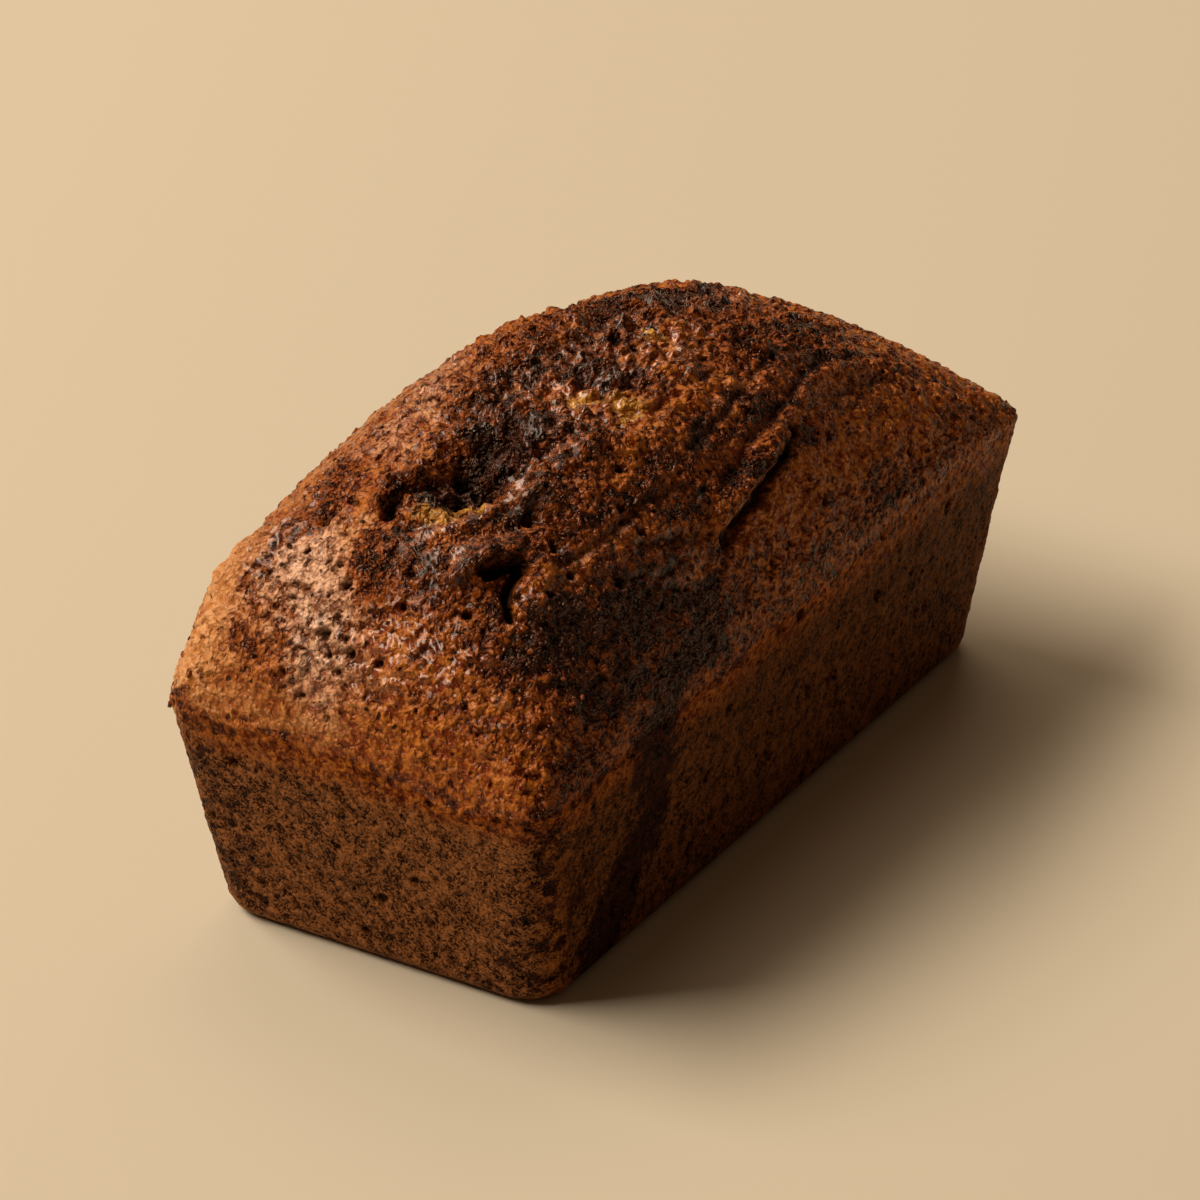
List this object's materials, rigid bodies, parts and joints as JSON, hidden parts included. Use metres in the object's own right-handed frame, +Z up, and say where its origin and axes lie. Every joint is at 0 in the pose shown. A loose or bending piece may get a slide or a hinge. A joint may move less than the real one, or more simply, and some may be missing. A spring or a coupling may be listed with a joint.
{
  "type": "marble cake",
  "caption": "Small whole marble loaf cake with tapered tin-baked sides, a high cracked crown and a flat underside.",
  "frame": {"origin": "on the underside, at the middle of the cake's length and width", "axes": "+X along the loaf towards its far end, +Y across it, +Z up from the flat underside"},
  "size_m": [0.1594, 0.0734, 0.0821],
  "materials": {
    "cake_crust": "baked crust, golden brown marbled with dark chocolate, rough with a slight gloss"
  },
  "bodies": {
    "root": {"marble_cake": "cake_crust"}
  },
  "joints": []
}
